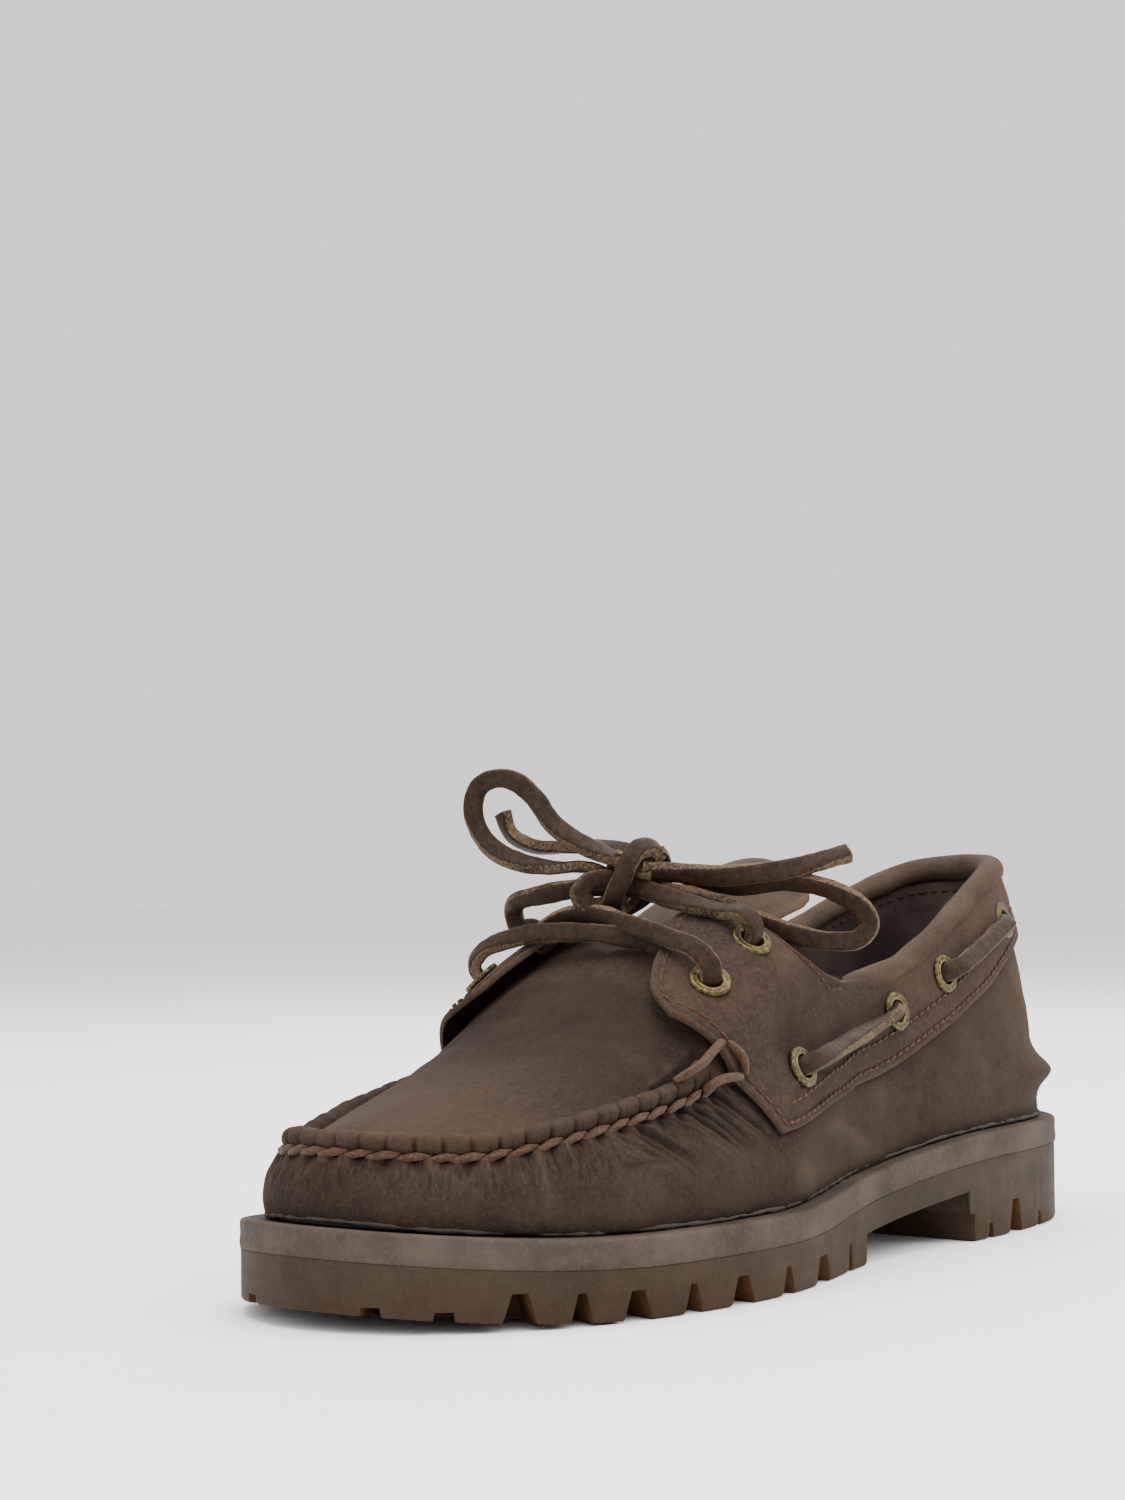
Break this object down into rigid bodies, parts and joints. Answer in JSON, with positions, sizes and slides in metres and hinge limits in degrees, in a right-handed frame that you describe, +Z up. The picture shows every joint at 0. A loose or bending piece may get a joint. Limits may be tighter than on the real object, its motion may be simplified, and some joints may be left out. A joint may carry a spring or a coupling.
{
  "type": "boat shoe",
  "caption": "Left leather boat shoe with a raised moccasin toe seam, side laces through brass eyelets, a tied leather bow and a thick lugged rubber sole.",
  "frame": {"origin": "on the floor, under the middle of the sole's length and width", "axes": "+X towards the toe, +Y towards the outer side of the left foot, +Z up"},
  "size_m": [0.3001, 0.1124, 0.1277],
  "materials": {
    "gum_rubber": "satin",
    "band_rubber": "matte",
    "brown_nubuck": "matte nubuck",
    "dark_lining": "matte",
    "lace_leather": "matte",
    "antique_brass": "antiqued"
  },
  "bodies": {
    "root": {"collar_roll": "brown_nubuck", "eyelet_front_lateral": "antique_brass", "eyelet_front_medial": "antique_brass", "eyelet_rear_lateral": "antique_brass", "eyelet_rear_medial": "antique_brass", "eyelet_side_1_lateral": "antique_brass", "eyelet_side_1_medial": "antique_brass", "eyelet_side_2_lateral": "antique_brass", "eyelet_side_2_medial": "antique_brass", "eyelet_side_3_lateral": "antique_brass", "eyelet_side_3_medial": "antique_brass", "eyelet_side_4_lateral": "antique_brass", "eyelet_side_4_medial": "antique_brass", "insole": "dark_lining", "lace_crossing": "lace_leather", "lace_end_long": "lace_leather", "lace_end_short": "lace_leather", "lace_knot": "lace_leather", "lace_loop_lateral": "lace_leather", "lace_loop_medial": "lace_leather", "lace_risers": "lace_leather", "lace_side_front_lateral": "lace_leather", "lace_side_front_medial": "lace_leather", "lace_side_rear_lateral": "lace_leather", "lace_side_rear_medial": "lace_leather", "midsole_welt": "band_rubber", "outsole": "gum_rubber", "side_panel": "brown_nubuck", "tongue": "brown_nubuck", "upper": "brown_nubuck"}
  },
  "joints": []
}
